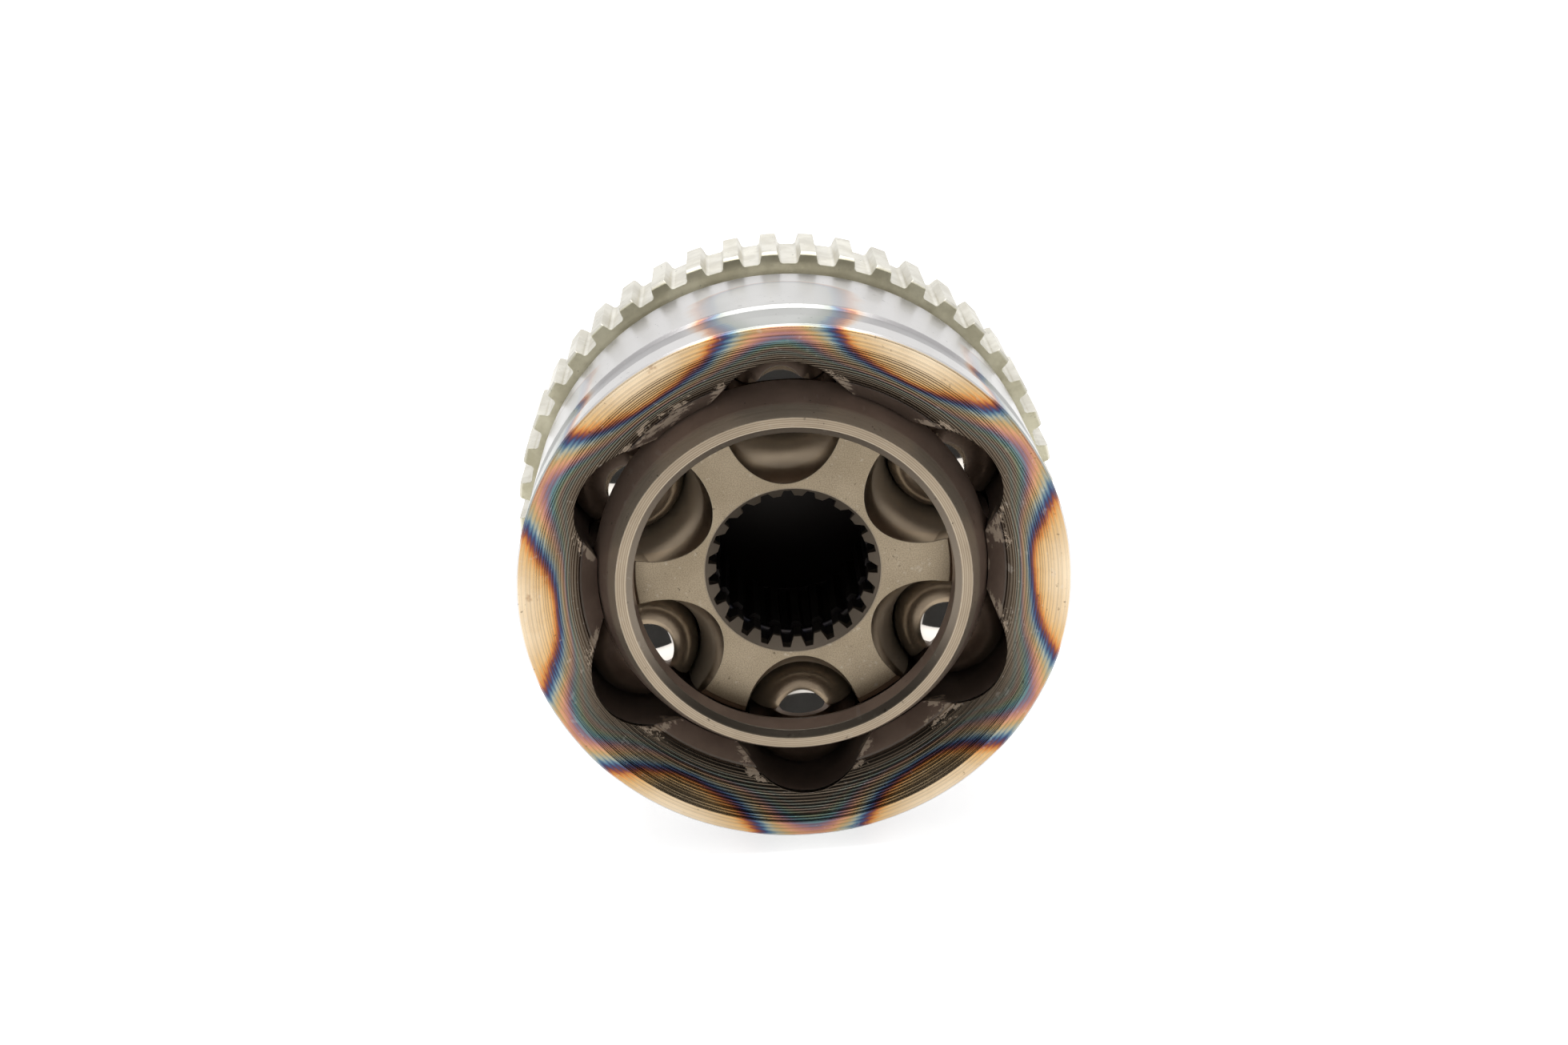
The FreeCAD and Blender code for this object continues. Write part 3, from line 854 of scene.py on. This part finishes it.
def thread_shape(start, end, pitch, crest, core):
    """One closed ridge wound round the stub, from inside its core out to the crest.

    The crest is an eighth of the pitch wide, and each flank leans back at 30 degrees.
    """
    root = core - THREAD_SINK
    half_crest = pitch / 16.0
    half_root = half_crest + (crest - root) * math.tan(math.radians(30.0))
    shape = bmesh.new()
    corners = [
        shape.verts.new((0.0, start + along, out))
        for along, out in ((-half_root, root), (-half_crest, crest),
                           (half_crest, crest), (half_root, root))
    ]
    profile = shape.faces.new(corners)
    turns = (end - start) / pitch
    steps = round(turns * FACETS_PER_TURN)
    bmesh.ops.spin(
        shape, geom=[profile, *profile.edges, *profile.verts], cent=(0.0, 0.0, 0.0),
        axis=(0.0, 1.0, 0.0), dvec=(0.0, (end - start) / steps, 0.0),
        angle=2.0 * math.pi * turns, steps=steps, use_merge=False, use_duplicate=False,
    )
    bmesh.ops.remove_doubles(shape, verts=shape.verts, dist=WELD_DISTANCE)
    open_edges = [edge for edge in shape.edges if edge.is_boundary]
    bmesh.ops.holes_fill(shape, edges=open_edges, sides=4)
    bmesh.ops.recalc_face_normals(shape, faces=shape.faces)
    return shape


# ---------------------------------------------------------------- settings


def length(title, about, millimetres):
    """A length that a user may change, kept in metres."""
    return bpy.props.FloatProperty(
        name=title, description=about, default=millimetres * MM, unit="LENGTH",
        precision=5,
    )


def amount(title, about, default):
    """A plain number that a user may change."""
    return bpy.props.FloatProperty(name=title, description=about, default=default)


def tint(title, about, default):
    """A colour that a user may change."""
    return bpy.props.FloatVectorProperty(
        name=title, description=about, default=default, size=4, min=0.0, max=1.0,
        subtype="COLOR",
    )


class JointSizes(bpy.types.PropertyGroup):
    """Sizes of the joint and its tool marks that the finishes follow."""

    track_offset: length("Track offset", "How far ahead the tracks are centred", 2.8)
    track_path: length("Track path", "Radius of the path of a ball's centre", 28.04)
    track_radius: length("Track radius", "Radius of a track's groove", 8.93)
    hollow_radius: length("Hollow radius", "Radius of the bell's hollow", 31.3)
    heat_swing: bpy.props.FloatProperty(
        name="Heat swing", description="How far the heat's lobes turn from a track",
        default=0.649, subtype="ANGLE",
    )
    track_heat: amount("Track heat", "Heat at the edge of a track", 0.631)
    track_heat_reach: length("Track heat reach", "Where it has fallen to 37 percent", 19.4)
    hollow_heat: amount("Hollow heat", "Heat at the wall of the hollow", 6.27)
    hollow_heat_reach: length("Hollow heat reach", "Where it has fallen to 37 percent", 1.48)
    mouth_pitch: length("Mouth line pitch", "Feed of the lines in the mouth", 0.65)
    fine_pitch: length("Fine line pitch", "Feed of the lines outside the bell", 0.3)
    face_pitch: length("Face line pitch", "Feed of the lines on the flat faces", 0.36)
    line_depth: length("Line depth", "Depth of the lines in the mouth", 0.045)
    thread_start: length("Thread start", "Where the stud's thread starts", 77.4)
    thread_end: length("Thread end", "Where the stud's thread ends", 96.3)
    thread_pitch: length("Thread pitch", "From one crest to the next", 1.5)
    thread_crest: length("Thread crest", "Radius of the thread's crests", 11.0)
    thread_core: length("Thread core", "Radius of the stud the thread winds on", 10.51)


class JointColours(bpy.types.PropertyGroup):
    """Main colours of the steels and the plating."""

    ground_steel: tint("Ground steel", "The barrel", display(212, 210, 209))
    hardened_steel: tint("Hardened steel", "Inside the bell", display(104, 89, 79))
    scuffed_steel: tint("Scuffed steel", "Rubbed places", display(176, 160, 142))
    zinc: tint("Zinc plating", "The sensor ring", display(224, 221, 211))
    turned_steel: tint("Turned steel", "The cage's face", display(172, 157, 137))
    cage_satin: tint("Cage satin", "The cage's sphere", display(124, 105, 93))
    hub_face: tint("Hub face", "The inner race's face", display(150, 136, 114))
    polished_steel: tint("Polished steel", "The balls", display(222, 216, 208))


class StudioSettings(bpy.types.PropertyGroup):
    """Camera, floor and lamp."""

    distance: bpy.props.FloatProperty(
        name="Camera distance", description="From the camera to its aim",
        default=0.2909, unit="LENGTH", precision=4,
    )
    turn: bpy.props.FloatProperty(
        name="Camera turn", description="Round the joint, nought looks along +Y",
        default=math.radians(-0.36), subtype="ANGLE",
    )
    height: bpy.props.FloatProperty(
        name="Camera height", description="Angle above the joint's axis",
        default=math.radians(21.3), subtype="ANGLE",
    )
    lean: bpy.props.FloatProperty(
        name="Camera lean", description="Turn about the line of sight",
        default=math.radians(-4.04), subtype="ANGLE",
    )
    aim: bpy.props.FloatVectorProperty(
        name="Camera aim", description="The point it looks at",
        default=(-0.00076, 0.00134, 0.00344), subtype="TRANSLATION", unit="LENGTH",
    )
    lens: bpy.props.FloatProperty(
        name="Lens", description="Focal length in millimetres", default=43.1,
        unit="CAMERA",
    )
    floor_size: bpy.props.FloatProperty(
        name="Floor size", description="Side of the floor", default=6.0, unit="LENGTH"
    )
    lamp_size: bpy.props.FloatProperty(
        name="Lamp size", description="Side of the soft lamp", default=0.7, unit="LENGTH"
    )
    lamp_power: bpy.props.FloatProperty(
        name="Lamp power", description="Power of the soft lamp", default=4.5, unit="POWER"
    )


# ---------------------------------------------------------------- pieces


class FINISH_OT_bell(bpy.types.Operator):
    """Gives the bell its ground, turned and heat-coloured steel"""

    bl_idname = "cv_joint.finish_bell"
    bl_label = "Finish the bell"

    def execute(self, context):
        scene = context.scene
        cover(["outer_race"], bell_steel(scene.joint_sizes, scene.joint_colours))
        return {"FINISHED"}


class THREAD_OT_build(bpy.types.Operator):
    """Winds the stud's thread, which turns with the bell"""

    bl_idname = "cv_joint.build_thread"
    bl_label = "Wind the stud's thread"

    def execute(self, context):
        sizes = context.scene.joint_sizes
        shape = thread_shape(
            sizes.thread_start, sizes.thread_end, sizes.thread_pitch,
            sizes.thread_crest, sizes.thread_core,
        )
        mesh = bpy.data.meshes.new("stub_thread")
        shape.to_mesh(mesh)
        shape.free()
        mesh.materials.append(thread_steel(sizes))
        thread = bpy.data.objects.new("stub_thread", mesh)
        context.scene.collection.objects.link(thread)
        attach(thread, "bell")
        return {"FINISHED"}


class FINISH_OT_ring(bpy.types.Operator):
    """Gives the sensor ring its zinc plating"""

    bl_idname = "cv_joint.finish_ring"
    bl_label = "Finish the sensor ring"

    def execute(self, context):
        cover(["abs_ring"], plated_ring(context.scene.joint_colours))
        return {"FINISHED"}


class FINISH_OT_cage(bpy.types.Operator):
    """Gives the cage its turned face and satin sphere"""

    bl_idname = "cv_joint.finish_cage"
    bl_label = "Finish the cage"

    def execute(self, context):
        scene = context.scene
        cover(["cage"], cage_steel(scene.joint_sizes, scene.joint_colours))
        return {"FINISHED"}


class FINISH_OT_inner_race(bpy.types.Operator):
    """Gives the inner race and its circlip their steels"""

    bl_idname = "cv_joint.finish_inner_race"
    bl_label = "Finish the inner race"

    def execute(self, context):
        scene = context.scene
        cover(["inner_race"], hub_steel(scene.joint_sizes, scene.joint_colours))
        cover(["shaft_circlip"], spring_steel())
        return {"FINISHED"}


class FINISH_OT_balls(bpy.types.Operator):
    """Gives the six balls their polish"""

    bl_idname = "cv_joint.finish_balls"
    bl_label = "Finish the balls"

    def execute(self, context):
        names = [f"ball_{number}" for number in range(1, TRACKS + 1)]
        cover(names, ball_steel(context.scene.joint_colours))
        return {"FINISHED"}


# ---------------------------------------------------------------- the studio


def flat_sheet(name, size, matrix, material):
    """A square of that size, placed by the matrix, that belongs to the studio."""
    shape = bmesh.new()
    bmesh.ops.create_grid(
        shape, x_segments=1, y_segments=1, size=size / 2.0, matrix=matrix
    )
    mesh = bpy.data.meshes.new(name)
    shape.to_mesh(mesh)
    shape.free()
    mesh.materials.append(material)
    sheet = bpy.data.objects.new(name, mesh)
    bpy.context.scene.collection.objects.link(sheet)
    return sheet


def seen_directly(bench):
    """One for camera, glossy and transmission rays, nought for the light that falls."""
    ray = bench.add("ShaderNodeLightPath").outputs
    return bench.math(
        "ADD",
        bench.math("ADD", ray["Is Camera Ray"], ray["Is Glossy Ray"]),
        ray["Is Transmission Ray"],
        clamp=True,
    )


def floor_paint():
    """White floor that keeps the joint's shadow."""
    material = bpy.data.materials.new("Studio floor")
    material.use_nodes = True
    bench = Bench(material.node_tree)
    cloth = bench.add("ShaderNodeBsdfDiffuse", {"Color": FLOOR_GREY})
    strength = bench.math("MULTIPLY", seen_directly(bench), FLOOR_GLOW)
    glow = bench.add("ShaderNodeEmission", {"Color": WHITE, "Strength": strength})
    both = bench.add("ShaderNodeAddShader", {0: cloth.outputs[0], 1: glow.outputs[0]})
    output = bench.add("ShaderNodeOutputMaterial")
    bench.feed(output.inputs["Surface"], both.outputs[0])
    return material


def dark_card():
    """Matt black for the side of the studio that the camera stands on."""
    material, bench, shader = new_material("Camera side card")
    bench.feed(shader.inputs["Base Color"], CARD_BLACK)
    bench.feed(shader.inputs["Roughness"], 0.9)
    return material


def light_world(world):
    """White all round, dimmer as light than it looks."""
    world.use_nodes = True
    bench = Bench(world.node_tree)
    strength = bench.lerp(seen_directly(bench), WORLD_LIGHT, 1.0)
    glow = bench.add("ShaderNodeBackground", {"Color": WHITE, "Strength": strength})
    output = bench.add("ShaderNodeOutputWorld")
    bench.feed(output.inputs["Surface"], glow.outputs[0])


def softbox(name, place, side, power):
    """A square soft lamp that shines on the joint."""
    lamp = bpy.data.lights.new(name, "AREA")
    lamp.shape = "SQUARE"
    lamp.size = side
    lamp.energy = power
    holder = bpy.data.objects.new(name, lamp)
    holder.location = place
    holder.rotation_euler = (-Vector(place)).to_track_quat("-Z", "Y").to_euler()
    bpy.context.scene.collection.objects.link(holder)


def studio_camera(studio):
    """A camera at its distance and angles from the aim, leaning a little."""
    camera = bpy.data.cameras.new("studio_camera")
    camera.sensor_width = 36.0
    camera.lens = studio.lens
    camera.clip_start = 5.0 * MM
    holder = bpy.data.objects.new("studio_camera", camera)
    bpy.context.scene.collection.objects.link(holder)
    back = Vector((
        math.sin(studio.turn) * math.cos(studio.height),
        -math.cos(studio.turn) * math.cos(studio.height),
        math.sin(studio.height),
    ))
    facing = (-back).to_track_quat("-Z", "Y").to_matrix().to_4x4()
    leaning = Matrix.Rotation(studio.lean, 4, "Z")
    spot = Vector(studio.aim) + back * studio.distance
    holder.matrix_world = Matrix.Translation(spot) @ facing @ leaning
    return holder


class STUDIO_OT_build(bpy.types.Operator):
    """Sets the floor, the white surroundings, the dark card, the lamp and the camera"""

    bl_idname = "cv_joint.build_studio"
    bl_label = "Build the studio"

    def execute(self, context):
        scene = context.scene
        studio = scene.studio_settings
        floor_place = Matrix.Translation((0.0, 0.0, ring_low.z))
        flat_sheet("studio_floor", studio.floor_size, floor_place, floor_paint())
        upright = Matrix.Rotation(math.radians(90.0), 4, "X")
        wide = Matrix.Diagonal((*CARD_SIZE, 1.0, 1.0))
        card_place = Matrix.Translation(CARD_PLACE) @ upright @ wide
        card = flat_sheet("camera_side_card", 1.0, card_place, dark_card())
        card.visible_camera = False
        card.visible_shadow = False
        card.visible_diffuse = False
        softbox("overhead_softbox", LAMP_PLACE, studio.lamp_size, studio.lamp_power)
        scene.world = scene.world or bpy.data.worlds.new("Studio")
        light_world(scene.world)
        scene.camera = studio_camera(studio)
        scene.view_settings.view_transform = "Standard"
        return {"FINISHED"}


# ---------------------------------------------------------------- the add-on


class PANEL_PT_cv_joint(bpy.types.Panel):
    """Lists the joint's finishes and their settings"""

    bl_label = "CV joint"
    bl_idname = "PANEL_PT_cv_joint"
    bl_space_type = "VIEW_3D"
    bl_region_type = "UI"
    bl_category = "CV joint"

    def draw(self, context):
        layout = self.layout
        for step in STEPS:
            layout.operator(step.bl_idname)
        for owner in SETTINGS:
            column = layout.column(heading=owner.replace("_", " "))
            settings = getattr(context.scene, owner)
            for name in settings.__annotations__:
                column.prop(settings, name)


STEPS = (
    FINISH_OT_bell,
    THREAD_OT_build,
    FINISH_OT_ring,
    FINISH_OT_cage,
    FINISH_OT_inner_race,
    FINISH_OT_balls,
    STUDIO_OT_build,
)
SETTINGS = {
    "joint_sizes": JointSizes,
    "joint_colours": JointColours,
    "studio_settings": StudioSettings,
}


def register():
    """Adds the settings to the scene and the operators and panel to the sidebar."""
    for kind in (*SETTINGS.values(), *STEPS, PANEL_PT_cv_joint):
        bpy.utils.register_class(kind)
    for name, kind in SETTINGS.items():
        setattr(bpy.types.Scene, name, bpy.props.PointerProperty(type=kind))


def unregister():
    """Takes them out again."""
    for name in SETTINGS:
        delattr(bpy.types.Scene, name)
    for kind in (PANEL_PT_cv_joint, *reversed(STEPS), *SETTINGS.values()):
        bpy.utils.unregister_class(kind)


def main():
    """Registers the add-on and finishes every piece."""
    register()
    bpy.ops.cv_joint.finish_bell()
    bpy.ops.cv_joint.build_thread()
    bpy.ops.cv_joint.finish_ring()
    bpy.ops.cv_joint.finish_cage()
    bpy.ops.cv_joint.finish_inner_race()
    bpy.ops.cv_joint.finish_balls()
    bpy.ops.cv_joint.build_studio()


if __name__ == "__main__":
    main()
